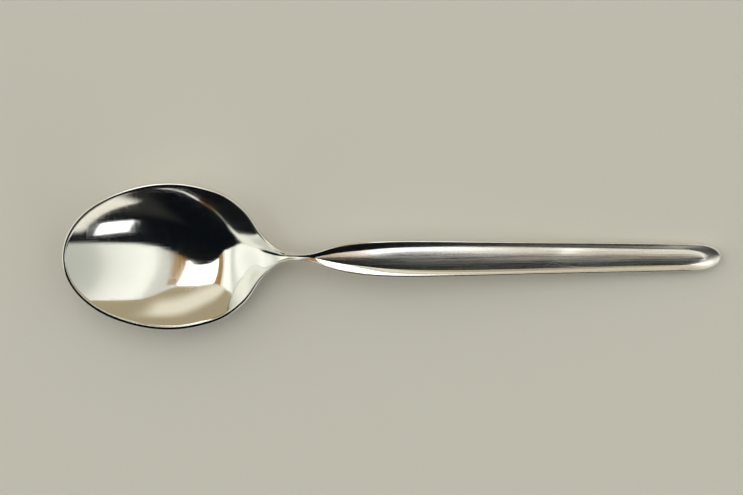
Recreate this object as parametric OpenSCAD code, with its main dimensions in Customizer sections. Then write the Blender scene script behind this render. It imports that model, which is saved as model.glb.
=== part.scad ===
// Teaspoon, pressed and coined from one blank of stainless steel.
// X runs from the lip of the bowl (-X) to the end of the handle (+X), Z is up,
// and the spoon lies on Z = 0 as it lies on a table, on its bowl and its handle's end.
// Each solid is lofted: ribs run from the middle line out to the outline and back
// underneath, and fan out round the lip and round the end of the handle.

/* [Overall] */
// Length from the lip of the bowl to the end of the handle
overall_l = 134; // [120:1:150]

/* [Bowl] */
// Length of the bowl, from its lip to where the neck starts
bowl_l = 41; // [37:0.5:45]
// Width of the bowl at its widest place
bowl_w = 30; // [26:0.5:34]
// Depth of the bowl inside, below its rim
bowl_depth = 7; // [6:0.1:8]
// Thickness of the steel at the bottom of the bowl
bowl_wall = 1.2; // [1:0.05:1.6]
// Width of the polished rim, seen from above
rim_w = 0.6; // [0.4:0.05:0.8]
// Height of the rim's rounded outer side
rim_side_h = 0.45; // [0.3:0.05:0.7]
// Height of the lip above the rim beside the deepest place
lip_rise = 4.6; // [3:0.2:6]
// Depth of the small flat under the bowl that it stands on
foot_cut = 0.15; // [0.1:0.05:0.3]

/* [Neck] */
// Length of the neck, from the bowl to the point of the handle's rib
neck_l = 9.8; // [8:0.2:12]
// Width of the neck at its narrowest place
neck_w = 1.8; // [1.4:0.1:3]
// Depth of the neck, from its upper edges to its underside
neck_t = 4.1; // [3:0.1:5]
// Height of the neck's upper edges above the table
neck_h = 8.1; // [7:0.1:9.5]
// Depth of the groove along the neck
groove_d = 0.14; // [0.08:0.02:0.3]

/* [Handle] */
// Width of the handle at its widest place
handle_w = 7.45; // [6:0.05:10]
// Width of the handle where its rounded end starts
end_w = 5.6; // [4.6:0.1:7]
// Length of the rounded end
end_round_l = 4.5; // [3.5:0.25:6]
// Thickness of the handle, from its raised edges to its underside
handle_t = 2.5; // [2.2:0.1:3.2]
// Thickness of the handle at its end, which lies on the table
end_t = 2.1; // [1.8:0.1:2.6]
// Width of the raised edge on each side of the channel
edge_w = 0.38; // [0.3:0.02:0.6]
// Height of the edge's rounded outer side
edge_side_h = 0.8; // [0.6:0.05:1]
// Depth of the coined channel below the raised edges
channel_d = 0.6; // [0.4:0.05:0.8]

/* [Rib] */
// Width of the satin rib at its widest place
rib_w = 4.85; // [3.6:0.05:5.2]
// Height of the rib above the channel's floor
rib_rise = 0.5; // [0.3:0.05:0.7]
// Distance from the end of the rib to the end of the handle
rib_end_gap = 2.6; // [2:0.1:3.6]

/* [Hidden] */

// Ribs from end to end of each solid
bowl_steps = 40;
neck_steps = 10;
handle_steps = 42;
// Spaces between the points of one rib: inside, on the rounded side, underneath, and over
// the crown of the satin rib
inside_steps = 8;
side_steps = 3;
under_steps = 10;
crown_steps = 4;

// Places along the spoon, measured from the lip
neck_x = bowl_l;
handle_x = bowl_l + neck_l;
handle_l = overall_l - handle_x;
rib_end_x = overall_l - rib_end_gap;
end_round_x = overall_l - end_round_l;
// Height of the rim beside the deepest place, which the bowl's other heights follow
rim_h = bowl_wall + bowl_depth - foot_cut;

// Where along the neck the round form of the lip has faded out
lip_fade_share = 0.46;
lip_form_x = neck_x + lip_fade_share * neck_l;
// How far the ribs' inner ends lie behind the lip and before the rib's end
lip_fan_share = 0.24;
end_fan_share = 0.28;
// The fan at the handle's end keeps to the last stretch by this power
end_fan_power = 12;
// Angles that space the ribs: the bowl's end closer at the lip and at the neck, and the
// handle's start closer at the neck and end closer at the round end
bowl_last_angle = 150;
handle_first_angle = 30;

// Half widths of the bowl as [share of bowl_l, share of half of bowl_w],
// before the round form of the lip is taken off
bowl_side_shares = [
    [0, 1.48], [0.15, 1.403], [0.3, 1.322], [0.45, 1.237], [0.6, 1.113],
    [0.71, 0.987], [0.78, 0.889], [0.86, 0.712], [0.91, 0.556], [0.96, 0.344], [1, 0.226]
];
// Half widths of the neck as [share of neck_l, share of half of neck_w]
neck_side_shares = [[0.28, 1.66], [0.58, 1], [0.78, 1.06], [1, 1.5]];
// Half widths of the handle as [share of handle_l, share of half of handle_w]
handle_side_shares = [
    [0.035, 0.6], [0.085, 0.82], [0.135, 0.938], [0.205, 0.997], [0.33, 0.986], [0.55, 0.905]
];
// Half widths towards the handle's end as [share of handle_l, share of half of end_w]
end_side_shares = [[0.76, 1.115], [0.9, 1.04], [1, 0.97]];

// Heights of the bowl's rim as [share of bowl_l, share of lip_rise above rim_h]
rim_line_shares = [[0, 1], [0.29, 0.585], [0.58, 0.185], [0.8, -0.085], [0.95, -0.225]];
// Share of the neck's length at which its upper edges are at neck_h
neck_top_share = 0.6;
// Heights of the handle's edges as [share of handle_l, share from end_t up to neck_h]
edge_line_shares = [[0.05, 1.12], [0.15, 1.18], [0.3, 1.04], [0.5, 0.72], [0.75, 0.31], [1, 0]];

// Depths of the bowl inside as [share of bowl_l behind the lip's rim, share of bowl_depth]
depth_shares = [
    [0, 0], [0.12, 0.315], [0.25, 0.579], [0.38, 0.777], [0.5, 0.901], [0.62, 0.98],
    [0.7, 0.99], [0.77, 0.932], [0.82, 0.794], [0.88, 0.556], [0.93, 0.357], [0.97, 0.23],
    [1, 0.163]
];
// Depths of the groove as [share of neck_l, share of groove_d]
groove_shares = [[0.12, 5.6], [0.3, 3.4], [0.55, 1.8], [0.75, 1]];
// Depths of the bowl outside as [share of bowl_l, share of the whole outer depth]
under_shares = [
    [0, 0], [0.12, 0.324], [0.25, 0.588], [0.38, 0.785], [0.5, 0.907], [0.62, 0.985],
    [0.7, 1.003], [0.77, 0.975], [0.82, 0.868], [0.88, 0.675], [0.94, 0.515]
];
// Thickness of the neck as [share of neck_l, share of neck_t]
neck_under_shares = [[0.1, 0.97], [0.55, 1], [1, 1]];
// Thickness of the handle as [share of handle_l, share of handle_t]
handle_under_shares = [[0.12, 1.26], [0.24, 1.08], [0.45, 1], [0.72, 1]];
// Share of the handle's length at which its underside meets the table
end_seat_share = 0.94;
// Depths of the channel as [share of handle_l, share of channel_d]
channel_shares = [[0.04, 0.5], [0.12, 0.9], [0.25, 1], [1, 1]];
// Half widths of the rib as [share of handle_l, share of half of rib_w]
rib_side_shares = [
    [0.06, 0.46], [0.11, 0.66], [0.16, 0.83], [0.21, 0.93], [0.33, 1], [0.55, 0.91],
    [0.9, 0.69], [1, 0.66]
];
// Length of the rib's round end as a share of its width
rib_round_share = 1.25;

// Shares of bowl_l between which the bowl's sections turn straighter towards the neck, and
// the share of their fullness that they end with, which is below 0 for straight sides
straight_from_share = 0.35;
straight_to_share = 0.85;
shoulder_full_share = -1.2;
// Shares of bowl_l at which the bowl's rim and underside start to change into the neck's
// edge and half round back
neck_rim_share = 0.85;
neck_back_share = 0.82;
// Share of neck_l at which the neck has its own edge
neck_full_share = 0.4;
neck_full_x = neck_x + neck_full_share * neck_l;
// Shares of neck_l between which the bowl's inside changes into the groove
groove_from_share = 0.15;
groove_to_share = 0.55;
// Share of neck_l at which the edge starts to change into the handle's, and share of
// handle_l at which it has done so
neck_end_share = 0.75;
handle_full_share = 0.12;
// Share of the groove's half width that its narrow floor takes
groove_floor_share = 0.12;
// Share of the edge's width that its rounded outer side takes, in the neck and elsewhere
neck_flank_share = 0.8;
flank_share = 0.36;
// Share of the neck's half width that its upper edge and flank take
neck_edge_share = 0.56;
// Share of the neck's depth at which it is widest
neck_waist_share = 0.45;
// Small rounding where the inside meets the rim, as shares of the edge's width and side
inner_round_share = 0.14;
inner_drop_share = 0.15;

steel = [0.80, 0.79, 0.76];
satin_steel = [0.66, 0.65, 0.62];

// Value between a and b
function mix(a, b, t) = a + (b - a) * t;

// Smooth rise from 0 at place a to 1 at place b
function ease(a, b, x) =
    let (t = min(1, max(0, (x - a) / (b - a))))
    t * t * t * (10 - 15 * t + 6 * t * t);

// Forward pass of the natural cubic curve through the points p, up to point i
function pass(p, i) =
    i == 0 ? [0, 0] :
    let (
        last = pass(p, i - 1),
        before = p[i].x - p[i - 1].x,
        after = p[i + 1].x - p[i].x,
        turn = (p[i + 1].y - p[i].y) / after - (p[i].y - p[i - 1].y) / before,
        pivot = 2 * (before + after) - before * last.x
    )
    [after / pivot, (6 * turn - before * last.y) / pivot];

// Bend of that curve at point i, which is none at its two ends
function bend(p, i) =
    i <= 0 || i >= len(p) - 1 ? 0 :
    let (here = pass(p, i))
    here.y - here.x * bend(p, i + 1);

// A smooth curve: its points and its bend at each
function curve(p) = [p, [for (i = [0:len(p) - 1]) bend(p, i)]];

// The stretch of a curve that holds x
function stretch(p, x) = len([for (i = [1:len(p) - 2]) if (x >= p[i].x) 1]);

// Value of a curve at x
function at(c, x) =
    let (
        p = c[0],
        i = stretch(p, x),
        h = p[i + 1].x - p[i].x,
        b = min(1, max(0, (x - p[i].x) / h)),
        a = 1 - b
    )
    a * p[i].y + b * p[i + 1].y
        + ((a * a * a - a) * c[1][i] + (b * b * b - b) * c[1][i + 1]) * h * h / 6;

// Slope of a curve at x
function slope(c, x) =
    let (
        p = c[0],
        i = stretch(p, x),
        h = p[i + 1].x - p[i].x,
        b = min(1, max(0, (x - p[i].x) / h)),
        a = 1 - b
    )
    (p[i + 1].y - p[i].y) / h
        + ((1 - 3 * a * a) * c[1][i] + (3 * b * b - 1) * c[1][i + 1]) * h / 6;

// Half widths along the whole spoon, before its two ends are rounded
side_curve = curve(concat(
    [for (s = bowl_side_shares) [s.x * bowl_l, s.y * bowl_w / 2]],
    [for (s = neck_side_shares) [neck_x + s.x * neck_l, s.y * neck_w / 2]],
    [for (s = handle_side_shares) [handle_x + s.x * handle_l, s.y * handle_w / 2]],
    [for (s = end_side_shares) [handle_x + s.x * handle_l, s.y * end_w / 2]]
));

// Heights of the rim and of the upper edges
edge_curve = curve(concat(
    [for (s = rim_line_shares) [s.x * bowl_l, rim_h + s.y * lip_rise]],
    [[neck_x + neck_top_share * neck_l, neck_h]],
    [for (s = edge_line_shares) [handle_x + s.x * handle_l, mix(end_t, neck_h, s.y)]]
));

// Depths below those edges, in the bowl, the groove and the channel
depth_curve = curve(concat(
    [for (s = depth_shares) [rim_w + s.x * (bowl_l - rim_w), s.y * bowl_depth]],
    [for (s = groove_shares) [neck_x + s.x * neck_l, s.y * groove_d]],
    [for (s = channel_shares) [handle_x + s.x * handle_l, s.y * channel_d]]
));

// Heights of the underside along the middle
outer_depth = bowl_depth + bowl_wall - rim_side_h;
under_curve = curve(concat(
    [for (s = under_shares) [s.x * bowl_l, edge_z(s.x * bowl_l) - rim_side_h - s.y * outer_depth]],
    [for (s = neck_under_shares)
        [neck_x + s.x * neck_l, edge_z(neck_x + s.x * neck_l) - s.y * neck_t]],
    [for (s = handle_under_shares)
        [handle_x + s.x * handle_l, edge_z(handle_x + s.x * handle_l) - s.y * handle_t]],
    [[handle_x + end_seat_share * handle_l, -foot_cut / 2], [overall_l, -foot_cut]]
));

// Half widths of the rib, before its end is rounded
rib_curve = curve(concat(
    [[handle_x, groove_floor_share * inside_w(handle_x)]],
    [for (s = rib_side_shares) [handle_x + s.x * handle_l, s.y * rib_w / 2]]
));

function edge_z(x) = at(edge_curve, x);
function depth(x) = at(depth_curve, x);
function under_z(x) = at(under_curve, x);

// 1 in the neck, fading to 0 in the bowl and in the handle
function neckness(x) =
    ease(neck_rim_share * bowl_l, neck_full_x, x)
    * (1 - ease(neck_x + neck_end_share * neck_l, handle_x + handle_full_share * handle_l, x));

// The bowl's value up to the middle of the neck, then the handle's
function bowl_or_handle(in_bowl, in_handle, x) = x < neck_x + neck_l / 2 ? in_bowl : in_handle;

// Width of the rim or raised edge with its rounded side
function edge_width(x) =
    mix(bowl_or_handle(rim_w, edge_w, x), neck_edge_share * neck_w / 2, neckness(x));

// Height of the rounded side
function side_height(x) =
    mix(bowl_or_handle(rim_side_h, edge_side_h, x), neck_waist_share * neck_t, neckness(x));

// Round forms of the lip and of the handle's end, as factors of the half width
function lip_form(x) = x >= lip_form_x ? 1 : sqrt(max(0, 1 - pow(1 - x / lip_form_x, 2)));
function end_form(x) =
    x <= end_round_x ? 1 : sqrt(max(0, 1 - pow((x - end_round_x) / end_round_l, 2)));

// Half width of the outline, and of the inner line of its rim or raised edge
function outline_w(x) = at(side_curve, x) * lip_form(x) * end_form(x);
function inside_w(x) =
    let (edge = edge_width(x) * sqrt(1 + pow(slope(side_curve, x), 2)))
    (at(side_curve, x) - edge) * lip_form(x - edge_width(x)) * end_form(x + edge_width(x));

// Half width of the rib at its foot
rib_round_l = rib_round_share * rib_w;
function rib_half(x) =
    at(rib_curve, x) * sqrt(max(0, 1 - pow(max(0, x - rib_end_x + rib_round_l) / rib_round_l, 2)));

// Rise of a round section from its middle (q = 0) to its edge (q = 1), which is a shallow
// bow where m is small and a half round where m is 1
function bow(q, m) = q * q * (1 + sqrt(1 - m)) / (1 + sqrt(max(0, 1 - m * q * q)));

// How full a round section of half width w and depth d is
function fullness(w, d) = d >= w ? 1 : pow(2 * w * d / (w * w + d * d), 2);

// The same for the bowl, whose sections have straighter sides towards the neck
function bowl_fullness(w, d, x) =
    let (straight = ease(straight_from_share * bowl_l, straight_to_share * bowl_l, x))
    fullness(w, d) * mix(1, shoulder_full_share, straight);

// Height of the line where the inside of the rim, groove or channel starts
function inner_z(x) = edge_z(x) - inner_drop_share * edge_width(x);

// Height of the inside of the bowl and of the neck's groove, y from the middle
function inside_z(x, y) =
    let (
        w = max(inside_w(x), y),
        q = w > 0 ? y / w : 0,
        d = depth(x),
        round_rise = bow(q, bowl_fullness(w, max(0, d), x)),
        groove_rise = max(0, q - groove_floor_share) / (1 - groove_floor_share),
        groove = ease(
            neck_x + groove_from_share * neck_l, neck_x + groove_to_share * neck_l, x)
    )
    inner_z(x) - d * (1 - mix(round_rise, groove_rise, groove));

// 0 where the underside is a shallow bow, 1 where it is half round
function waist(x) = ease(neck_back_share * bowl_l, bowl_l, x);

// Height of the underside, cut level where the bowl stands on the table
function outside_z(x, y) =
    let (
        w = max(outline_w(x), y),
        q = w > 0 ? y / w : 0,
        top = edge_z(x) - side_height(x),
        d = max(0, top - under_z(x)),
        m = mix(bowl_fullness(w, d, x), 1, waist(x))
    )
    max(0, top - d * (1 - bow(q, m)));

// Point between a and b
function between(a, b, t) = a + (b - a) * t;

// Rounded side, from the inner line of the rim to the outline
function side_points(inner, outer) =
    let (
        flank = mix(flank_share, neck_flank_share, neckness(outer.x)),
        a = between(inner, outer, inner_round_share),
        b = between(inner, outer, 1 - flank)
    )
    concat(
        [[a.x, a.y, edge_z(a.x)], [b.x, b.y, edge_z(b.x)]],
        [for (k = [1:side_steps])
            let (angle = 90 * k / side_steps, p = between(b, outer, sin(angle)))
            [p.x, p.y, edge_z(p.x) - side_height(outer.x) * (1 - cos(angle))]]
    );

// Place of point k of the underside, from 1 at the outline to 0 at the middle
function under_place(k, x) =
    mix(1 - k / under_steps, cos(90 * k / under_steps), waist(x));

// One rib of the bowl or neck, which meets the outline at x: inside, rim, underside
function bowl_rib(x) =
    let (
        fan = x >= neck_x ? 0 : pow(1 - x / neck_x, 2),
        start = [x + fan * lip_fan_share * bowl_l, 0],
        inner_x = x + fan * edge_width(x),
        inner = [inner_x, inside_w(inner_x)],
        outer = [x, outline_w(x)]
    )
    concat(
        [for (q = [0, groove_floor_share / 2])
            let (p = between(start, inner, q))
            [p.x, p.y, inside_z(p.x, p.y)]],
        [for (k = [0:inside_steps])
            let (p = between(start, inner, mix(groove_floor_share, 1, k / inside_steps)))
            [p.x, p.y, inside_z(p.x, p.y)]],
        side_points(inner, outer),
        [for (k = [1:under_steps])
            let (p = between(start, outer, k == under_steps ? 0 : under_place(k, x)))
            [p.x, p.y, outside_z(p.x, p.y)]]
    );

// How much a rib of the handle leans round its end, which only the last ones do
function end_fan(x) = pow((x - handle_x) / handle_l, end_fan_power);

// Points of the rib's foot, where it meets the channel's floor: the middle and the side.
// The spread is 0 for the last rib, which lies along the middle line, and else 1.
function foot_middle(x) = [x - end_fan(x) * (rib_end_gap + end_fan_share * rib_w), 0];
function foot_side(x, spread) =
    let (side_x = x - end_fan(x) * rib_end_gap)
    [side_x, spread * rib_half(side_x)];

// Height of the channel's floor
function floor_z(x) = inner_z(x) - depth(x);

// Points at the height of the floor, from the middle of the channel to the rib's foot
function floor_points(x, spread, places) =
    [for (t = places)
        let (p = between(foot_middle(x), foot_side(x, spread), t))
        [p.x, p.y, floor_z(p.x)]];

// One rib of the handle: channel's floor and wall, raised edge, underside
function handle_frame(x, spread) =
    let (
        foot = foot_side(x, spread),
        inner_x = x - end_fan(x) * edge_width(x),
        inner = [inner_x, spread * inside_w(inner_x)],
        outer = [x, spread * outline_w(x)],
        crease = [foot.x, foot.y, floor_z(foot.x)],
        brim = [inner.x, inner.y, inner_z(inner.x)],
        side_z = edge_z(x) - side_height(x)
    )
    concat(
        floor_points(x, spread, [0, 0.5, 1]),
        [between(crease, brim, 0.5), brim],
        side_points(inner, outer),
        [for (k = [1:under_steps])
            let (
                angle = 90 * k / under_steps,
                p = between(foot_middle(x), outer, k == under_steps ? 0 : cos(angle))
            )
            [p.x, p.y, max(0, mix(side_z, under_z(p.x), sin(angle)))]]
    );

// Height of the rib's crown above the floor
function crown(x) = rib_rise * (1 - pow(1 - min(1, 2 * at(rib_curve, x) / rib_w), 2));

// One rib of the lens-shaped satin rib: crown, foot
function lens_frame(x, spread) =
    let (middle = foot_middle(x), side = foot_side(x, spread), rise = crown(middle.x))
    concat(
        [for (k = [0:crown_steps])
            let (t = k / crown_steps, p = between(middle, side, t))
            [p.x, p.y, floor_z(p.x) + rise * (1 - t * t)]],
        floor_points(x, spread, [0.5, 0])
    );

// Solid between ribs and their mirror images. Its first and last rib are closed with a flat
// face, unless that rib lies along the middle line.
module loft(ribs) {
    n = len(ribs);
    m = len(ribs[0]);
    right = [for (rib = ribs) each rib];
    left = [for (p = right) [p.x, -p.y, p.z]];
    function r(i, j) = i * m + j;
    function l(i, j) = ribs[i][j].y == 0 ? r(i, j) : n * m + r(i, j);
    function round_end(i) = max([for (p = ribs[i]) p.y]) == 0;
    // A rib's own two halves, zipped together from the middle out
    function flat(i) = [
        for (j = [0:floor((m - 3) / 2)], side = [0, 1])
            let (
                zip = side == 0
                    ? [r(i, j), r(i, j + 1), r(i, m - 2 - j), r(i, m - 1 - j)]
                    : [l(i, m - 1 - j), l(i, m - 2 - j), l(i, j + 1), l(i, j)]
            )
            each j + 1 == m - 2 - j
                ? [[zip[0], zip[1], zip[3]]]
                : [[zip[0], zip[1], zip[2]], [zip[0], zip[2], zip[3]]]
    ];
    function turned(faces) = [for (f = faces) [f[2], f[1], f[0]]];
    skin = [
        for (i = [0:n - 2], j = [0:m - 2])
            let (
                cut_back = (j < m / 2) == round_end(n - 1),
                a = r(i, j), b = r(i, j + 1), c = r(i + 1, j + 1), d = r(i + 1, j),
                e = l(i, j), f = l(i, j + 1), g = l(i + 1, j + 1), h = l(i + 1, j)
            )
            each cut_back
                ? [[a, b, d], [b, c, d], [e, h, f], [f, h, g]]
                : [[a, b, c], [a, c, d], [e, g, f], [e, h, g]]
    ];
    polyhedron(
        concat(right, left),
        concat(
            skin,
            round_end(0) ? [] : turned(flat(0)),
            round_end(n - 1) ? [] : flat(n - 1)
        )
    );
}

// The spoon is drawn from its lip and then centred
module centred() {
    translate([-overall_l / 2, 0, 0]) children();
}

// Places of rib i of the bowl and of the handle
function bowl_place(i) =
    neck_x * (1 - cos(bowl_last_angle * i / bowl_steps)) / (1 - cos(bowl_last_angle));
function handle_place(i) =
    let (first = cos(handle_first_angle))
    handle_x + handle_l
        * (first - cos(mix(handle_first_angle, 180, i / handle_steps))) / (first + 1);

module bowl() {
    color(steel) centred() loft([for (i = [0:bowl_steps]) bowl_rib(bowl_place(i))]);
}

module neck() {
    color(steel) centred() loft([
        for (i = [0:neck_steps]) bowl_rib(mix(neck_x, handle_x, i / neck_steps))
    ]);
}

module handle() {
    color(steel) centred() loft([
        for (i = [0:handle_steps]) handle_frame(handle_place(i), i < handle_steps ? 1 : 0)
    ]);
}

module handle_rib() {
    color(satin_steel) centred() loft([
        for (i = [0:handle_steps]) lens_frame(handle_place(i), i < handle_steps ? 1 : 0)
    ]);
}

bowl();
neck();
handle();
handle_rib();
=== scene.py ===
"""Teaspoon: a mirror-polished steel spoon with a satin rib in its handle's coined channel.

Each surface is made of ribs, which are rows of points from the spoon's middle line out to
its outline and back underneath. They are worked out in millimetres, with x from the lip, y
from the middle line and z from the table, and both_sides() turns them into metres in the
CAD model's frame. Sizes and shares have the names and values of the part's source. Only
the finer spacing of the points, the rounding of the rim and of the channel's wall, and the
flatter crown of the satin rib are this file's own.
"""

import bpy
import numpy as np
from mathutils import Matrix, Vector


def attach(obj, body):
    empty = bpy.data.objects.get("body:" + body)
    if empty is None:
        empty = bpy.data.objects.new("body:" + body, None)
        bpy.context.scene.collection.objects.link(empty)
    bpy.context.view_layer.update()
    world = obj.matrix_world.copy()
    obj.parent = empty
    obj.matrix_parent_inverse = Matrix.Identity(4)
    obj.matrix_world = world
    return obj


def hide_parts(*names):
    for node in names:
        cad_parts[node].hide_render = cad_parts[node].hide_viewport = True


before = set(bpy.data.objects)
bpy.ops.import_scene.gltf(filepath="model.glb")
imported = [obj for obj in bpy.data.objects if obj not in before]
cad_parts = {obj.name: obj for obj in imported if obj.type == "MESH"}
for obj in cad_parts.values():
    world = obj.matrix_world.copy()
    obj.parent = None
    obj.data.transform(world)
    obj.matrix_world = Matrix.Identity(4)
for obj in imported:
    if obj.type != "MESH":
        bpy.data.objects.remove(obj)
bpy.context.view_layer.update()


# ---- Sizes in millimetres

OVERALL_L = 134.0

BOWL_L = 41.0
BOWL_W = 30.0
BOWL_DEPTH = 7.0
BOWL_WALL = 1.2
RIM_W = 0.6
RIM_SIDE_H = 0.45
LIP_RISE = 4.6
FOOT_CUT = 0.15

NECK_L = 9.8
NECK_W = 1.8
NECK_T = 4.1
NECK_H = 8.1
GROOVE_D = 0.14

HANDLE_W = 7.45
END_W = 5.6
END_ROUND_L = 4.5
HANDLE_T = 2.5
END_T = 2.1
EDGE_W = 0.38
EDGE_SIDE_H = 0.8
CHANNEL_D = 0.6

RIB_W = 4.85
RIB_RISE = 0.5
RIB_END_GAP = 2.6

# Places along the spoon, and the height of the rim beside the deepest place
NECK_X = BOWL_L
HANDLE_X = BOWL_L + NECK_L
HANDLE_L = OVERALL_L - HANDLE_X
RIB_END_X = OVERALL_L - RIB_END_GAP
END_ROUND_X = OVERALL_L - END_ROUND_L
RIM_H = BOWL_WALL + BOWL_DEPTH - FOOT_CUT


# ---- Shares of those sizes

# Where along the neck the round form of the lip has faded out
LIP_FADE_SHARE = 0.46
LIP_FORM_X = NECK_X + LIP_FADE_SHARE * NECK_L
# How far the ribs' inner ends lie behind the lip and before the rib's end
LIP_FAN_SHARE = 0.24
END_FAN_SHARE = 0.28
END_FAN_POWER = 12
# Angles that space the ribs closer at the lip, at the neck and at the handle's end
BOWL_LAST_ANGLE = 150
HANDLE_FIRST_ANGLE = 30

# Half widths as (share of the length, share of the half width)
BOWL_SIDE_SHARES = [
    (0, 1.48), (0.15, 1.403), (0.3, 1.322), (0.45, 1.237), (0.6, 1.113), (0.71, 0.987),
    (0.78, 0.889), (0.86, 0.712), (0.91, 0.556), (0.96, 0.344), (1, 0.226)]
NECK_SIDE_SHARES = [(0.28, 1.66), (0.58, 1), (0.78, 1.06), (1, 1.5)]
HANDLE_SIDE_SHARES = [
    (0.035, 0.6), (0.085, 0.82), (0.135, 0.938), (0.205, 0.997), (0.33, 0.986), (0.55, 0.905)]
END_SIDE_SHARES = [(0.76, 1.115), (0.9, 1.04), (1, 0.97)]
RIB_SIDE_SHARES = [
    (0.06, 0.46), (0.11, 0.66), (0.16, 0.83), (0.21, 0.93), (0.33, 1), (0.55, 0.91),
    (0.9, 0.69), (1, 0.66)]
RIB_ROUND_SHARE = 1.25
RIB_ROUND_L = RIB_ROUND_SHARE * RIB_W

# Heights of the rim and the edges as (share of the length, share of the rise)
RIM_LINE_SHARES = [(0, 1), (0.29, 0.585), (0.58, 0.185), (0.8, -0.085), (0.95, -0.225)]
NECK_TOP_SHARE = 0.6
EDGE_LINE_SHARES = [(0.05, 1.12), (0.15, 1.18), (0.3, 1.04), (0.5, 0.72), (0.75, 0.31), (1, 0)]

# Depths and thicknesses as (share of the length, share of the depth)
DEPTH_SHARES = [
    (0, 0), (0.12, 0.315), (0.25, 0.579), (0.38, 0.777), (0.5, 0.901), (0.62, 0.98),
    (0.7, 0.99), (0.77, 0.932), (0.82, 0.794), (0.88, 0.556), (0.93, 0.357), (0.97, 0.23),
    (1, 0.163)]
GROOVE_SHARES = [(0.12, 5.6), (0.3, 3.4), (0.55, 1.8), (0.75, 1)]
CHANNEL_SHARES = [(0.04, 0.5), (0.12, 0.9), (0.25, 1), (1, 1)]
UNDER_SHARES = [
    (0, 0), (0.12, 0.324), (0.25, 0.588), (0.38, 0.785), (0.5, 0.907), (0.62, 0.985),
    (0.7, 1.003), (0.77, 0.975), (0.82, 0.868), (0.88, 0.675), (0.94, 0.515)]
NECK_UNDER_SHARES = [(0.1, 0.97), (0.55, 1), (1, 1)]
HANDLE_UNDER_SHARES = [(0.12, 1.26), (0.24, 1.08), (0.45, 1), (0.72, 1)]
END_SEAT_SHARE = 0.94

# Between these shares of the bowl's length its sections turn straighter, to this fullness
STRAIGHT_FROM_SHARE, STRAIGHT_TO_SHARE = 0.35, 0.85
SHOULDER_FULL_SHARE = -1.2
# Where the bowl's rim and back start to change into the neck's
NECK_RIM_SHARE = 0.85
NECK_BACK_SHARE = 0.82
# Where the neck has its own edge, and where it starts and ends to change into the handle's
NECK_FULL_SHARE = 0.4
NECK_END_SHARE = 0.75
HANDLE_FULL_SHARE = 0.12
# Between these shares of the neck's length the bowl's inside changes into the groove
GROOVE_FROM_SHARE, GROOVE_TO_SHARE = 0.15, 0.55
# Shares of a section: the groove's floor, the neck's edge and its widest place, and the
# small drop where the inside meets the rim
GROOVE_FLOOR_SHARE = 0.12
NECK_EDGE_SHARE = 0.56
NECK_WAIST_SHARE = 0.45
INNER_DROP_SHARE = 0.15

# ---- What only the visual model has

# Spaces between ribs, and between the points of one rib
BOWL_STEPS = 190
NECK_STEPS = 44
HANDLE_STEPS = 300
RIM_STEPS = 6
SIDE_STEPS = 9
UNDER_STEPS = 24
CROWN_STEPS = 14
# Where the points of a rib lie on the floor and on the wall, from 0 to 1
FLOOR_SHARES = np.array([0, 0.4, 0.8, 0.97])
WALL_SHARES = np.concatenate([[0, 0.03], np.linspace(0.08, 0.92, 19), [0.97]])
# Where the satin rib's flat back has its only inner point
BACK_SHARES = np.array([0.5, 0])
# Where on the rim its top lies, and how square its rounding is: 1 is an ellipse
RIM_TOP_SHARE, NECK_RIM_TOP_SHARE = 0.25, 0.18
RIM_SQUARE, NECK_SQUARE = 0.55, 1.0
# Rise and form of the satin rib's crown, flatter than in the solid
CROWN_SHARE = 0.68
CROWN_POWER = 2.2
# The channel's wall swells a little, and is hollow round the channel's end
WALL_SWELL = 0.45
END_HOLLOW_POWER = 2.5

# Numbers that count as nothing: a divisor's least size, and a distance in millimetres
LEAST = 1e-12
ON_MIDDLE = 1e-9
MM_PER_METRE = 1000


# ---- Curves along the spoon

def smooth_curve(points):
    """Natural cubic curve through the points: their places, values and bends."""
    x, y = np.array(points, float).T
    h = np.diff(x)
    matrix = np.eye(len(x))
    turns = np.zeros(len(x))
    for i in range(1, len(x) - 1):
        matrix[i, i - 1:i + 2] = h[i - 1], 2 * (h[i - 1] + h[i]), h[i]
        turns[i] = 6 * ((y[i + 1] - y[i]) / h[i] - (y[i] - y[i - 1]) / h[i - 1])
    return x, y, np.linalg.solve(matrix, turns)


def stretch(curve, x):
    """The stretch of a curve that holds x: its number, its length and the share behind x."""
    places = curve[0]
    i = np.clip(np.searchsorted(places, x, side="right") - 1, 0, len(places) - 2)
    h = places[i + 1] - places[i]
    return i, h, np.clip((x - places[i]) / h, 0, 1)


def at(curve, x):
    """Value of a curve at x."""
    i, h, b = stretch(curve, x)
    a = 1 - b
    _, y, m = curve
    bent = (a ** 3 - a) * m[i] + (b ** 3 - b) * m[i + 1]
    return a * y[i] + b * y[i + 1] + bent * h * h / 6


def slope(curve, x):
    """Slope of a curve at x."""
    i, h, b = stretch(curve, x)
    a = 1 - b
    _, y, m = curve
    bent = (1 - 3 * a * a) * m[i] + (3 * b * b - 1) * m[i + 1]
    return (y[i + 1] - y[i]) / h + bent * h / 6


def mix(a, b, t):
    """Value between a and b."""
    return a + (b - a) * t


def ease(a, b, x):
    """Smooth rise from 0 at place a to 1 at place b."""
    t = np.clip((x - a) / (b - a), 0, 1)
    return t * t * t * (10 - 15 * t + 6 * t * t)


def sized(start, length, shares, size):
    """Points of a curve, from shares of a length and of a size."""
    return [(start + s * length, v * size) for s, v in shares]


side_curve = smooth_curve(
    sized(0, BOWL_L, BOWL_SIDE_SHARES, BOWL_W / 2)
    + sized(NECK_X, NECK_L, NECK_SIDE_SHARES, NECK_W / 2)
    + sized(HANDLE_X, HANDLE_L, HANDLE_SIDE_SHARES, HANDLE_W / 2)
    + sized(HANDLE_X, HANDLE_L, END_SIDE_SHARES, END_W / 2))

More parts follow.
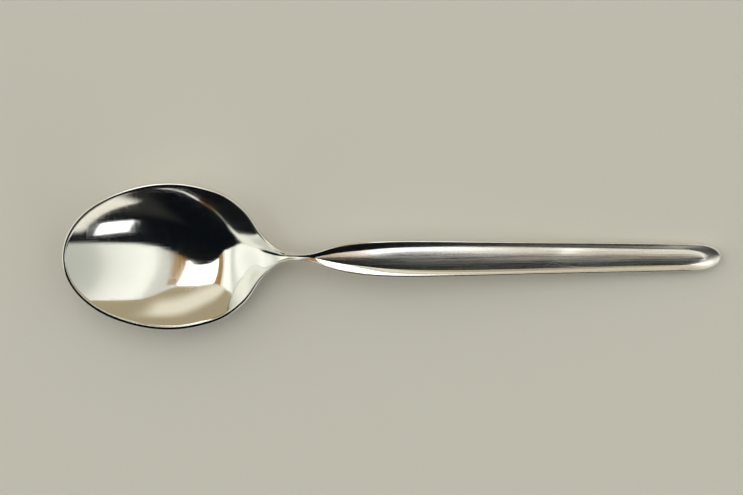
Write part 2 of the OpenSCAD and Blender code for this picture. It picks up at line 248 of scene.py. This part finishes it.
edge_curve = smooth_curve(
    [(s * BOWL_L, RIM_H + v * LIP_RISE) for s, v in RIM_LINE_SHARES]
    + [(NECK_X + NECK_TOP_SHARE * NECK_L, NECK_H)]
    + [(HANDLE_X + s * HANDLE_L, mix(END_T, NECK_H, v)) for s, v in EDGE_LINE_SHARES])

depth_curve = smooth_curve(
    sized(RIM_W, BOWL_L - RIM_W, DEPTH_SHARES, BOWL_DEPTH)
    + sized(NECK_X, NECK_L, GROOVE_SHARES, GROOVE_D)
    + sized(HANDLE_X, HANDLE_L, CHANNEL_SHARES, CHANNEL_D))


def edge_z(x):
    """Height of the rim or the raised edge."""
    return at(edge_curve, x)


def below_edge(start, length, shares, size, drop=0.0):
    """Points of the underside's curve, measured down from the edge."""
    return [(start + s * length, edge_z(start + s * length) - drop - v * size)
            for s, v in shares]


under_curve = smooth_curve(
    below_edge(0, BOWL_L, UNDER_SHARES, BOWL_DEPTH + BOWL_WALL - RIM_SIDE_H, RIM_SIDE_H)
    + below_edge(NECK_X, NECK_L, NECK_UNDER_SHARES, NECK_T)
    + below_edge(HANDLE_X, HANDLE_L, HANDLE_UNDER_SHARES, HANDLE_T)
    + [(HANDLE_X + END_SEAT_SHARE * HANDLE_L, -FOOT_CUT / 2), (OVERALL_L, -FOOT_CUT)])


def depth(x):
    """Depth of the bowl, the groove or the channel below the edge's inner line."""
    return at(depth_curve, x)


def under_z(x):
    """Height of the underside along the middle line."""
    return at(under_curve, x)


def neckness(x):
    """1 in the neck, fading to 0 in the bowl and in the handle."""
    start = ease(NECK_RIM_SHARE * BOWL_L, NECK_X + NECK_FULL_SHARE * NECK_L, x)
    end = ease(
        NECK_X + NECK_END_SHARE * NECK_L, HANDLE_X + HANDLE_FULL_SHARE * HANDLE_L, x)
    return start * (1 - end)


def bowl_or_handle(in_bowl, in_handle, x):
    """The bowl's value up to the middle of the neck, then the handle's."""
    return np.where(x < NECK_X + NECK_L / 2, in_bowl, in_handle)


def edge_width(x):
    """Width of the rim or the raised edge, with its rounded side."""
    return mix(bowl_or_handle(RIM_W, EDGE_W, x), NECK_EDGE_SHARE * NECK_W / 2, neckness(x))


def side_height(x):
    """Height of the edge's rounded side."""
    own = bowl_or_handle(RIM_SIDE_H, EDGE_SIDE_H, x)
    return mix(own, NECK_WAIST_SHARE * NECK_T, neckness(x))


def round_part(t):
    """Quarter circle, from 1 at t = 0 to 0 at t = 1."""
    return np.sqrt(np.maximum(0, 1 - t * t))


def lip_form(x):
    """Round form of the lip, as a factor of the half width."""
    return np.where(x >= LIP_FORM_X, 1, round_part(np.maximum(0, 1 - x / LIP_FORM_X)))


def end_form(x):
    """Round form of the handle's end, as a factor of the half width."""
    return round_part(np.maximum(0, (x - END_ROUND_X) / END_ROUND_L))


def outline_w(x):
    """Half width of the outline."""
    return at(side_curve, x) * lip_form(x) * end_form(x)


def inside_w(x):
    """Half width of the inner line of the rim or the raised edge."""
    edge = edge_width(x) * np.sqrt(1 + slope(side_curve, x) ** 2)
    return (at(side_curve, x) - edge) * lip_form(x - edge_width(x)) * end_form(x + edge_width(x))


rib_curve = smooth_curve(
    [(HANDLE_X, GROOVE_FLOOR_SHARE * float(inside_w(np.array(HANDLE_X))))]
    + sized(HANDLE_X, HANDLE_L, RIB_SIDE_SHARES, RIB_W / 2))


def rib_half(x):
    """Half width of the satin rib at its foot."""
    past = np.maximum(0, x - RIB_END_X + RIB_ROUND_L) / RIB_ROUND_L
    return at(rib_curve, x) * round_part(past)


# ---- Sections across the spoon

def bow(q, m):
    """Rise of a round section from its middle to its edge: shallow at m = 0, half round at 1."""
    at_edge = np.sqrt(np.maximum(0, 1 - m))
    return q * q * (1 + at_edge) / (1 + np.sqrt(np.maximum(0, 1 - m * q * q)))


def fullness(w, d):
    """How full a round section of half width w and depth d is."""
    squares = np.maximum(w * w + d * d, LEAST)
    return np.where(d >= w, 1, (2 * w * d / squares) ** 2)


def bowl_fullness(w, d, x):
    """The same for the bowl, whose sections have straighter sides towards the neck."""
    straight = ease(STRAIGHT_FROM_SHARE * BOWL_L, STRAIGHT_TO_SHARE * BOWL_L, x)
    return fullness(w, d) * mix(1, SHOULDER_FULL_SHARE, straight)


def inner_z(x):
    """Height of the inner line of the rim or the raised edge."""
    return edge_z(x) - INNER_DROP_SHARE * edge_width(x)


def share_across(w, y):
    """A half width that holds y, and the share of it that y is."""
    w = np.maximum(w, y)
    return w, np.where(w > 0, y / np.maximum(w, LEAST), 0)


def inside_z(x, y):
    """Height of the bowl's inside and of the neck's groove."""
    w, q = share_across(inside_w(x), y)
    d = depth(x)
    round_rise = bow(q, bowl_fullness(w, np.maximum(0, d), x))
    groove_rise = np.maximum(0, q - GROOVE_FLOOR_SHARE) / (1 - GROOVE_FLOOR_SHARE)
    groove = ease(NECK_X + GROOVE_FROM_SHARE * NECK_L, NECK_X + GROOVE_TO_SHARE * NECK_L, x)
    return inner_z(x) - d * (1 - mix(round_rise, groove_rise, groove))


def neck_back(x):
    """0 in the bowl, rising to 1 where the neck's half round back starts."""
    return ease(NECK_BACK_SHARE * BOWL_L, BOWL_L, x)


def outside_z(x, y):
    """Height of the underside of the bowl and the neck."""
    w, q = share_across(outline_w(x), y)
    top = edge_z(x) - side_height(x)
    d = np.maximum(0, top - under_z(x))
    m = mix(bowl_fullness(w, d, x), 1, neck_back(x))
    return np.maximum(0, top - d * (1 - bow(q, m)))


# ---- Ribs, as rows of points from the middle line round to the middle line

def rim_points(inner_x, inner_y, outer_x, outer_y):
    """Domed rim, from the line where the inside ends to the outline."""
    neck = neckness(outer_x)
    top = mix(RIM_TOP_SHARE, NECK_RIM_TOP_SHARE, neck)
    square = mix(RIM_SQUARE, NECK_SQUARE, neck)
    up = np.radians(np.linspace(0, 90, RIM_STEPS))[None, :]
    down = np.radians(np.linspace(0, 90, SIDE_STEPS + 1)[1:])[None, :]
    share = np.hstack([
        top * (1 - np.cos(up) ** square),
        top + (1 - top) * np.sin(down) ** square,
    ])
    x = mix(inner_x, outer_x, share)
    y = mix(inner_y, outer_y, share)
    rise = (1 - np.sin(up) ** square) * INNER_DROP_SHARE * edge_width(inner_x)
    fall = (1 - np.cos(down) ** square) * side_height(outer_x)
    return x, y, edge_z(x) - np.hstack([rise, fall])


def joined(*parts):
    """Points of several stretches of the same ribs, joined."""
    return np.stack([np.hstack([part[k] for part in parts]) for k in range(3)], axis=-1)


def bowl_ribs(x):
    """Ribs of the bowl and the neck that meet the outline at x."""
    fan = np.where(x < NECK_X, 1 - x / NECK_X, 0) ** 2
    start_x = x + fan * LIP_FAN_SHARE * BOWL_L
    inner_x = x + fan * edge_width(x)
    inner_y, outer_y = inside_w(inner_x), outline_w(x)
    q = np.concatenate([
        FLOOR_SHARES * GROOVE_FLOOR_SHARE, mix(GROOVE_FLOOR_SHARE, 1, WALL_SHARES)])[None, :]
    in_x, in_y = mix(start_x, inner_x, q), inner_y * q
    back = np.arange(1, UNDER_STEPS + 1)[None, :] / UNDER_STEPS
    place = mix(1 - back, np.cos(np.radians(90 * back)), neck_back(x))
    place[:, -1] = 0
    under_x, under_y = mix(start_x, x, place), outer_y * place
    return joined(
        (in_x, in_y, inside_z(in_x, in_y)),
        rim_points(inner_x, inner_y, x, outer_y),
        (under_x, under_y, outside_z(under_x, under_y)),
    )


def end_fan(x):
    """0 along the handle, rising to 1 at its very end, where the ribs fan out."""
    return ((x - HANDLE_X) / HANDLE_L) ** END_FAN_POWER


def floor_z(x):
    """Height of the channel's floor."""
    return inner_z(x) - depth(x)


def foot(x, spread):
    """Foot of the satin rib on the channel's floor: x in the middle, and x and y at the side."""
    fan = end_fan(x)
    middle_x = x - fan * (RIB_END_GAP + END_FAN_SHARE * RIB_W)
    side_x = x - fan * RIB_END_GAP
    return middle_x, side_x, spread * rib_half(side_x)


def handle_ribs(x, spread):
    """Ribs of the handle: channel's floor and wall, raised edge, underside."""
    middle_x, foot_x, foot_y = foot(x, spread)
    inner_x = x - end_fan(x) * edge_width(x)
    inner_y, outer_y = spread * inside_w(inner_x), spread * outline_w(x)
    across = FLOOR_SHARES[None, :]
    in_x, in_y = mix(middle_x, foot_x, across), foot_y * across
    up = WALL_SHARES[None, :]
    swollen = mix(up + WALL_SWELL * up * (1 - up), up ** END_HOLLOW_POWER, end_fan(x))
    wall = (
        mix(foot_x, inner_x, up),
        mix(foot_y, inner_y, up),
        mix(floor_z(foot_x), inner_z(inner_x), swollen),
    )
    angle = np.radians(90 * np.arange(1, UNDER_STEPS + 1) / UNDER_STEPS)[None, :]
    place = np.cos(angle)
    place[:, -1] = 0
    under_x, under_y = mix(middle_x, x, place), outer_y * place
    side_z = edge_z(x) - side_height(x)
    return joined(
        (in_x, in_y, floor_z(in_x)),
        wall,
        rim_points(inner_x, inner_y, x, outer_y),
        (under_x, under_y, np.maximum(0, mix(side_z, under_z(under_x), np.sin(angle)))),
    )


def lens_ribs(x, spread):
    """Ribs of the satin rib: crown from the middle to the foot, flat underneath."""
    middle_x, foot_x, foot_y = foot(x, spread)
    narrow = np.minimum(1, 2 * at(rib_curve, middle_x) / RIB_W)
    rise = RIB_RISE * (1 - (1 - narrow) ** 2)
    t = np.linspace(0, 1, CROWN_STEPS + 1)[None, :]
    top_x, top_y = mix(middle_x, foot_x, t), foot_y * t
    crown = CROWN_SHARE * rise * (1 - t ** CROWN_POWER)
    back = BACK_SHARES[None, :]
    back_x, back_y = mix(middle_x, foot_x, back), foot_y * back
    return joined((top_x, top_y, floor_z(top_x) + crown), (back_x, back_y, floor_z(back_x)))


def both_sides(ribs):
    """Vertices in metres and faces of the ribs and of their mirror images."""
    n, m = ribs.shape[:2]
    right = ribs.reshape(-1, 3).copy()
    right[:, 0] -= OVERALL_L / 2
    left = right * (1, -1, 1)
    index = np.arange(n * m).reshape(n, m)
    mirrored = np.where(np.abs(ribs[..., 1]) < ON_MIDDLE, index, index + n * m)
    faces = []
    for i in range(n - 1):
        for j in range(m - 1):
            a, b = index[i, j:j + 2]
            d, c = index[i + 1, j:j + 2]
            faces.append((a, d, c, b))
            a, b = mirrored[i, j:j + 2]
            d, c = mirrored[i + 1, j:j + 2]
            faces.append((a, b, c, d))
    return np.vstack([right, left]) / MM_PER_METRE, faces


# ---- Pieces

def new_mesh(name, vertices, faces):
    mesh = bpy.data.meshes.new(name)
    mesh.from_pydata(vertices.tolist(), [], faces)
    mesh.validate()
    mesh.shade_smooth()
    return mesh


def new_piece(name, mesh, node):
    """A piece of the spoon that stands for this CAD node."""
    piece = bpy.data.objects.new(name, mesh)
    bpy.context.scene.collection.objects.link(piece)
    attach(piece, "root")
    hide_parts(node)
    return piece


def part_of_skin(skin, faces, name):
    """Some faces of the whole skin as a mesh of their own, shaded as they are in the skin."""
    corners = np.empty(len(skin.loops) * 3, np.float32)
    skin.corner_normals.foreach_get("vector", corners)
    corners = corners.reshape(-1, 3)
    used = sorted({v for f in faces for v in skin.polygons[f].vertices})
    renumbered = {old: new for new, old in enumerate(used)}
    mesh = bpy.data.meshes.new(name)
    mesh.from_pydata(
        [skin.vertices[v].co for v in used], [],
        [[renumbered[v] for v in skin.polygons[f].vertices] for f in faces],
    )
    mesh.shade_smooth()
    mesh.normals_split_custom_set(
        [corners[k] for f in faces for k in skin.polygons[f].loop_indices])
    return mesh


def spaced(length, first_angle, last_angle, steps):
    """Places from 0 to length, spaced as the cosines of even angles."""
    cosines = np.cos(np.radians(mix(first_angle, last_angle, np.arange(steps + 1) / steps)))
    return length * (cosines[0] - cosines) / (cosines[0] - cosines[-1])


def add_spoon():
    """The polished skin, cut into its three pieces, and the satin rib."""
    bowl_x = spaced(NECK_X, 0, BOWL_LAST_ANGLE, BOWL_STEPS)
    neck_x = np.linspace(NECK_X, HANDLE_X, NECK_STEPS + 1)[1:]
    handle_x = HANDLE_X + spaced(HANDLE_L, HANDLE_FIRST_ANGLE, 180, HANDLE_STEPS)
    spread = np.ones_like(handle_x)
    spread[-1] = 0

    ribs = np.concatenate([
        bowl_ribs(np.concatenate([bowl_x, neck_x])[:, None]),
        handle_ribs(handle_x[1:, None], spread[1:, None]),
    ])
    skin = new_mesh("skin", *both_sides(ribs))
    faces_per_step = 2 * (ribs.shape[1] - 1)
    splits = np.cumsum([0, BOWL_STEPS, NECK_STEPS, HANDLE_STEPS]) * faces_per_step
    pieces = []
    for node, first, last in zip(("bowl", "neck", "handle"), splits[:-1], splits[1:]):
        name = node + "_polished"
        mesh = part_of_skin(skin, range(first, last), name)
        pieces.append(new_piece(name, mesh, node))
    bpy.data.meshes.remove(skin)

    lens = new_mesh(
        "handle_rib_satin", *both_sides(lens_ribs(handle_x[:, None], spread[:, None])))
    return pieces, new_piece("handle_rib_satin", lens, "handle_rib")


# ---- Nodes

# Sockets of a colour Mix node, by index, because its names repeat
MIX_SHARE, MIX_A, MIX_B, MIX_RESULT = 0, 6, 7, 2


def new_node(tree, kind, inputs=None, **settings):
    """A node with its settings. Each input is a value, or a socket that is linked to it."""
    node = tree.nodes.new(kind)
    for key, value in settings.items():
        setattr(node, key, value)
    for key, value in (inputs or {}).items():
        if isinstance(value, bpy.types.NodeSocket):
            tree.links.new(value, node.inputs[key])
        else:
            node.inputs[key].default_value = value
    return node


def calculated(tree, operation, *values):
    """Result of a Math node."""
    node = new_node(tree, "ShaderNodeMath", dict(enumerate(values)), operation=operation)
    return node.outputs[0]


def ranged(tree, value, old, new, interpolation_type="LINEAR"):
    """The value's place between the two old numbers, as a place between the new ones."""
    ends = {"From Min": old[0], "From Max": old[1], "To Min": new[0], "To Max": new[1]}
    node = new_node(
        tree, "ShaderNodeMapRange", {"Value": value, **ends},
        interpolation_type=interpolation_type)
    return node.outputs["Result"]


def blend(tree, share, a, b):
    """Colour a where the share is 0, and colour b where it is 1."""
    node = new_node(
        tree, "ShaderNodeMix", {MIX_SHARE: share, MIX_A: a, MIX_B: b}, data_type="RGBA")
    return node.outputs[MIX_RESULT]


def coordinates(tree, kind):
    return new_node(tree, "ShaderNodeTexCoord").outputs[kind]


def split(tree, vector):
    """x, y and z of a vector."""
    return new_node(tree, "ShaderNodeSeparateXYZ", {"Vector": vector}).outputs


# ---- Materials

FULL = (0, 1)
NOISE_ROUGHNESS = 0.55
BUMP_DISTANCE = 0.00001

# Hairlines on the polished steel: angle and scale of the noise that each set lies in
HAIRLINES = [(0.3, (40, 2600, 40)), (1.2, (2200, 50, 50)), (2.4, (45, 3000, 45))]
HAIRLINE_DETAIL = 2.0
HAIRLINE_LEVEL = 0.5
HAIRLINE_WIDTH = 0.012
HAIRLINE_ROUGHNESS = 0.10
HAIRLINE_BUMP = 0.05
# Soft patches of the polish
CLOUD_SCALE = (140, 140, 140)
CLOUD_DETAIL = 4.0
POLISH_ROUGHNESS = (0.03, 0.07)
POLISH_COLOURS = ((0.78, 0.765, 0.735, 1), (0.82, 0.81, 0.785, 1))
# Where along x, in metres, the polish gets duller, and by how much: from the bowl to the
# handle, and at the channel's end
DULLER = [((-0.020, 0.0), (0.0, 0.12)), ((0.059, 0.0625), (0.0, 0.18))]

# Brushing along the satin rib: fine and broad streaks
FINE_SCALE, FINE_DETAIL = (90, 7000, 90), 3.0
BROAD_SCALE, BROAD_DETAIL = (60, 3000, 60), 2.0
STREAK_RANGE = (0.8, 1.2)
SATIN_ROUGHNESS = (0.22, 0.29)
SATIN_COLOURS = ((0.68, 0.675, 0.65, 1), (0.88, 0.87, 0.845, 1))
SATIN_BUMP = 0.12
SATIN_ANISOTROPY = 0.6

FLOOR_COLOUR = (0.80, 0.78, 0.74, 1)
GRAIN_SCALE = (400, 400, 400)
GRAIN_DETAIL = 3.0
GRAIN_ROUGHNESS = (0.75, 0.85)


def new_material(name):
    material = bpy.data.materials.new(name)
    material.use_nodes = True
    tree = material.node_tree
    tree.nodes.clear()
    shader = tree.nodes.new("ShaderNodeBsdfPrincipled")
    output = tree.nodes.new("ShaderNodeOutputMaterial")
    tree.links.new(shader.outputs["BSDF"], output.inputs["Surface"])
    return material, tree, shader


def stretched_noise(tree, scale, detail, angle=0.0):
    """Noise in the object's own coordinates, finer along some of them than along others."""
    turned = new_node(tree, "ShaderNodeMapping", {
        "Rotation": (0, 0, angle), "Scale": scale, "Vector": coordinates(tree, "Object")})
    noise = new_node(tree, "ShaderNodeTexNoise", {
        "Scale": 1.0, "Detail": detail, "Roughness": NOISE_ROUGHNESS,
        "Vector": turned.outputs["Vector"]})
    return noise.outputs["Fac"]


def hairlines(tree, angle, scale):
    """Thin lines where the stretched noise crosses its middle value: 1 on a line."""
    noise = stretched_noise(tree, scale, HAIRLINE_DETAIL, angle)
    off = calculated(tree, "ABSOLUTE", calculated(tree, "SUBTRACT", noise, HAIRLINE_LEVEL))
    return ranged(tree, off, (0.0, HAIRLINE_WIDTH), (1.0, 0.0))


def polished_steel():
    material, tree, shader = new_material("polished_steel")
    lines = 0.0
    for angle, scale in HAIRLINES:
        lines = calculated(tree, "MAXIMUM", lines, hairlines(tree, angle, scale))
    cloud = stretched_noise(tree, CLOUD_SCALE, CLOUD_DETAIL)
    roughness = ranged(tree, cloud, FULL, POLISH_ROUGHNESS)
    x = split(tree, coordinates(tree, "Object"))["X"]
    for places, more in DULLER:
        roughness = calculated(tree, "ADD", roughness, ranged(tree, x, places, more))
    roughness = calculated(tree, "MULTIPLY_ADD", lines, HAIRLINE_ROUGHNESS, roughness)
    tree.links.new(roughness, shader.inputs["Roughness"])
    tree.links.new(blend(tree, cloud, *POLISH_COLOURS), shader.inputs["Base Color"])
    bump = new_node(
        tree, "ShaderNodeBump",
        {"Strength": HAIRLINE_BUMP, "Distance": BUMP_DISTANCE, "Height": lines}, invert=True)
    tree.links.new(bump.outputs["Normal"], shader.inputs["Normal"])
    shader.inputs["Metallic"].default_value = 1.0
    return material


def satin_steel():
    material, tree, shader = new_material("satin_steel")
    fine = stretched_noise(tree, FINE_SCALE, FINE_DETAIL)
    broad = stretched_noise(tree, BROAD_SCALE, BROAD_DETAIL)
    streaks = ranged(tree, calculated(tree, "ADD", broad, fine), STREAK_RANGE, FULL)
    tree.links.new(ranged(tree, streaks, FULL, SATIN_ROUGHNESS), shader.inputs["Roughness"])
    tree.links.new(blend(tree, streaks, *SATIN_COLOURS), shader.inputs["Base Color"])
    bump = new_node(tree, "ShaderNodeBump", {
        "Strength": SATIN_BUMP, "Distance": BUMP_DISTANCE, "Height": streaks})
    tree.links.new(bump.outputs["Normal"], shader.inputs["Normal"])
    around = new_node(tree, "ShaderNodeTangent", direction_type="RADIAL", axis="X")
    tree.links.new(around.outputs["Tangent"], shader.inputs["Tangent"])
    shader.inputs["Anisotropic"].default_value = SATIN_ANISOTROPY
    shader.inputs["Metallic"].default_value = 1.0
    return material


def floor_paper():
    material, tree, shader = new_material("floor_paper")
    grain = stretched_noise(tree, GRAIN_SCALE, GRAIN_DETAIL)
    tree.links.new(ranged(tree, grain, FULL, GRAIN_ROUGHNESS), shader.inputs["Roughness"])
    shader.inputs["Base Color"].default_value = FLOOR_COLOUR
    return material


# ---- Floor

FLOOR_SIZE = 6.0
# The floor lies a hair below the spoon, so that their faces don't share a place
FLOOR_DROP = 0.00002


def add_floor():
    half = FLOOR_SIZE / 2
    corners = [(-half, -half, 0), (half, -half, 0), (half, half, 0), (-half, half, 0)]
    mesh = bpy.data.meshes.new("floor")
    mesh.from_pydata(corners, [], [(0, 1, 2, 3)])
    mesh.materials.append(floor_paper())
    floor = bpy.data.objects.new("floor", mesh)
    floor.location.z = -FLOOR_DROP
    bpy.context.scene.collection.objects.link(floor)


# ---- Soft light: linear colours, by directions given as x, y and z of a unit vector

SHADE = (0.004, 0.0055, 0.007, 1)
DIM = (0.03, 0.03, 0.028, 1)
DARK = (0.0, 0.0, 0.0, 1)
WALL = (1.50, 1.54, 1.38, 1)
WARM_DIM = (0.45, 0.38, 0.24, 1)
WARM = (0.94, 0.89, 0.71, 1)
FRAME = (0.42, 0.25, 0.09, 1)
SKYLIGHT = (2.7, 2.74, 2.66, 1)
WINDOW = (2.2, 2.2, 2.2, 1)
CREAM = (1.02, 0.99, 0.86, 1)
PALE = (0.72, 0.73, 0.62, 1)
BACKDROP = (0.62, 0.61, 0.58, 1)

# How bright the wall is, as (x, share of WALL)
WALL_LIGHT = [
    (-1, 0.55), (-0.93, 0.74), (-0.87, 0.80), (-0.80, 0.66), (-0.73, 0.56), (-0.66, 0.76),
    (-0.55, 0.86), (-0.45, 0.86), (-0.30, 0.56), (0, 0.50), (0.3, 0.50), (0.38, 0.52),
    (0.43, 0.56), (0.49, 0.79), (0.58, 0.72), (0.65, 0.60), (0.72, 0.43), (1, 0.34)]
# Up to where the shade on -Y reaches, as (x, y)
SHADE_EDGE = [
    (-1, -0.46), (-0.86, -0.43), (-0.74, -0.33), (-0.55, -0.25), (-0.38, -0.22),
    (-0.25, -0.12), (-0.13, 0.0), (-0.04, 0.13), (0.08, 0.26), (0.20, 0.24),
    (0.30, 0.07), (0.36, -0.05), (0.41, -0.18), (0.46, -0.27), (1, -0.30)]
SHADE_SOFT = (-0.03, 0.03)

# The skylight, its frame and the far window lie on a level ceiling at height 1. A line on
# it is (a, b): x = a + b y for the two sides, and y = a + b x for an end
LEAST_Z = 0.02
LINE_SOFT = 0.02
SKYLIGHT_SIDES = ((-0.06, -0.12), (0.33, -0.06))
FRAME_SIDES = ((-0.27, -0.18), (0.43, -0.08))
FAR_END = (0.93, -0.85)
WINDOW_SIDES = ((0.78, 0.0), (1.08, 0.0))
WINDOW_ENDS = ((-1.2, 0.0), (-0.75, 0.0))

# The warm floor of the room: past a V on the ceiling's plane, and past a line on the +X side
WARM_MIDDLE = 0.28
WARM_LINE = (0.68, 0.78)
WARM_SIDE_LINE = (1.0, 0.0)
WARM_SIDE_X = (0.05, 0.2)
# Where that floor is bright
BRIGHT_X = (0.42, 0.20)
BRIGHT_FROM_Z = (0.34, 0.48)
BRIGHT_TO_Z = (0.74, 0.56)

# A low cream patch in the shade, below the line z = a + b x
CREAM_LINE, CREAM_SOFT = (0.10, 0.65), 0.015
CREAM_X = (0.25, 0.34)
CREAM_Y = (-0.46, -0.54)
# A dim patch round it, and a pale one behind the spoon's bowl
DIM_X = (0.08, 0.26)
DIM_Y = (-0.70, -0.85)
PALE_Z = (0.34, 0.24)
PALE_X = (-0.48, -0.60)


def step(tree, value, ends):
    """Smooth rise from 0 at the first end to 1 at the second, which may be the lower one."""
    return ranged(tree, value, ends, FULL, "SMOOTHSTEP")


def curve(tree, value, points):
    """A smooth curve through points whose numbers lie between -1 and 1."""
    node = new_node(tree, "ShaderNodeFloatCurve", {
        "Value": calculated(tree, "MULTIPLY_ADD", value, 0.5, 0.5)})
    line = node.mapping.curves[0]
    while len(line.points) < len(points):
        line.points.new(0.5, 0.5)
    for point, (x, y) in zip(line.points, points):
        point.location = (x / 2 + 0.5, y / 2 + 0.5)
    node.mapping.update()
    return calculated(tree, "MULTIPLY_ADD", node.outputs[0], 2.0, -1.0)


def past(tree, value, other, line, sign=1, soft=LINE_SOFT):
    """1 where value is more than a + b times other, or less than it where sign is -1."""
    a, b = line
    off = calculated(tree, "SUBTRACT", value, calculated(tree, "MULTIPLY_ADD", other, b, a))
    return step(tree, calculated(tree, "MULTIPLY", off, sign), (-soft, soft))


def every(tree, *shares):
    """The shares multiplied with each other."""
    product = shares[0]
    for share in shares[1:]:
        product = calculated(tree, "MULTIPLY", product, share)
    return product


def strip(tree, value, other, lines):
    """1 between two lines."""
    return every(
        tree, past(tree, value, other, lines[0]), past(tree, value, other, lines[1], -1))


def wall_colour(tree, x, z, across, along):
    """The +Y side: a pale wall, a warm floor, and a skylight in its frame."""
    wall = blend(tree, curve(tree, x, WALL_LIGHT), DARK, WALL)
    off = calculated(tree, "ABSOLUTE", calculated(tree, "SUBTRACT", across, WARM_MIDDLE))
    warm_side = every(
        tree, past(tree, along, off, WARM_SIDE_LINE), step(tree, x, WARM_SIDE_X))
    warm = calculated(tree, "MAXIMUM", past(tree, along, off, WARM_LINE), warm_side)
    bright = every(
        tree, step(tree, x, BRIGHT_X), step(tree, z, BRIGHT_FROM_Z), step(tree, z, BRIGHT_TO_Z))
    colour = blend(tree, warm, wall, blend(tree, bright, WARM_DIM, WARM))
    before_end = past(tree, along, across, FAR_END, -1)
    for sides, own_colour in ((FRAME_SIDES, FRAME), (SKYLIGHT_SIDES, SKYLIGHT)):
        patch = every(tree, strip(tree, across, along, sides), before_end)
        colour = blend(tree, patch, colour, own_colour)
    return colour


def shade_colour(tree, x, y, z, across, along):
    """The -Y side: a deep shade with a far window and three lighter patches."""
    window = every(
        tree, strip(tree, across, along, WINDOW_SIDES), strip(tree, along, across, WINDOW_ENDS))
    dim = every(tree, step(tree, x, DIM_X), step(tree, y, DIM_Y))
    cream = every(
        tree, past(tree, z, x, CREAM_LINE, -1, CREAM_SOFT),
        step(tree, x, CREAM_X), step(tree, y, CREAM_Y))
    pale = every(tree, step(tree, z, PALE_Z), step(tree, x, PALE_X))
    colour = SHADE
    for patch, own_colour in ((window, WINDOW), (dim, DIM), (cream, CREAM), (pale, PALE)):
        colour = blend(tree, patch, colour, own_colour)
    return colour


def add_light():
    """Soft studio light all round, with an even backdrop for the camera."""
    world = bpy.data.worlds.new("studio")
    bpy.context.scene.world = world
    world.use_nodes = True
    tree = world.node_tree
    tree.nodes.clear()
    x, y, z = split(tree, coordinates(tree, "Generated"))
    # Where the direction meets the level ceiling at height 1
    height = calculated(tree, "MAXIMUM", z, LEAST_Z)
    across = calculated(tree, "DIVIDE", x, height)
    along = calculated(tree, "DIVIDE", y, height)
    beyond_shade = step(
        tree, calculated(tree, "SUBTRACT", y, curve(tree, x, SHADE_EDGE)), SHADE_SOFT)
    colour = blend(
        tree, beyond_shade, shade_colour(tree, x, y, z, across, along),
        wall_colour(tree, x, z, across, along))
    path = new_node(tree, "ShaderNodeLightPath")
    colour = blend(tree, path.outputs["Is Camera Ray"], colour, BACKDROP)
    background = new_node(tree, "ShaderNodeBackground", {"Strength": 1.0, "Color": colour})
    output = tree.nodes.new("ShaderNodeOutputWorld")
    tree.links.new(background.outputs[0], output.inputs["Surface"])


# ---- Camera, at the photograph's viewing angle: nearly straight down, a little from +Y

CAMERA_PLACE = Vector((0.004441, 0.038310, 0.289590))
CAMERA_RIGHT = Vector((0.99943, 0.00480, -0.03343))
CAMERA_UP = Vector((-0.00901, 0.99186, -0.12699))
CAMERA_LENS = 67.83
SENSOR_WIDTH = 36.0
NEAREST_SEEN = 0.01


def add_camera():
    camera = bpy.data.cameras.new("camera")
    camera.sensor_width = SENSOR_WIDTH
    camera.lens = CAMERA_LENS
    camera.clip_start = NEAREST_SEEN
    eye = bpy.data.objects.new("camera", camera)
    axes = Matrix((CAMERA_RIGHT, CAMERA_UP, CAMERA_RIGHT.cross(CAMERA_UP))).transposed()
    eye.matrix_world = Matrix.Translation(CAMERA_PLACE) @ axes.to_4x4()
    bpy.context.scene.collection.objects.link(eye)
    bpy.context.scene.camera = eye


polished_pieces, satin_piece = add_spoon()
steel = polished_steel()
for piece in polished_pieces:
    piece.data.materials.append(steel)
satin_piece.data.materials.append(satin_steel())
add_floor()
add_light()
add_camera()
bpy.context.scene.view_settings.view_transform = "Standard"
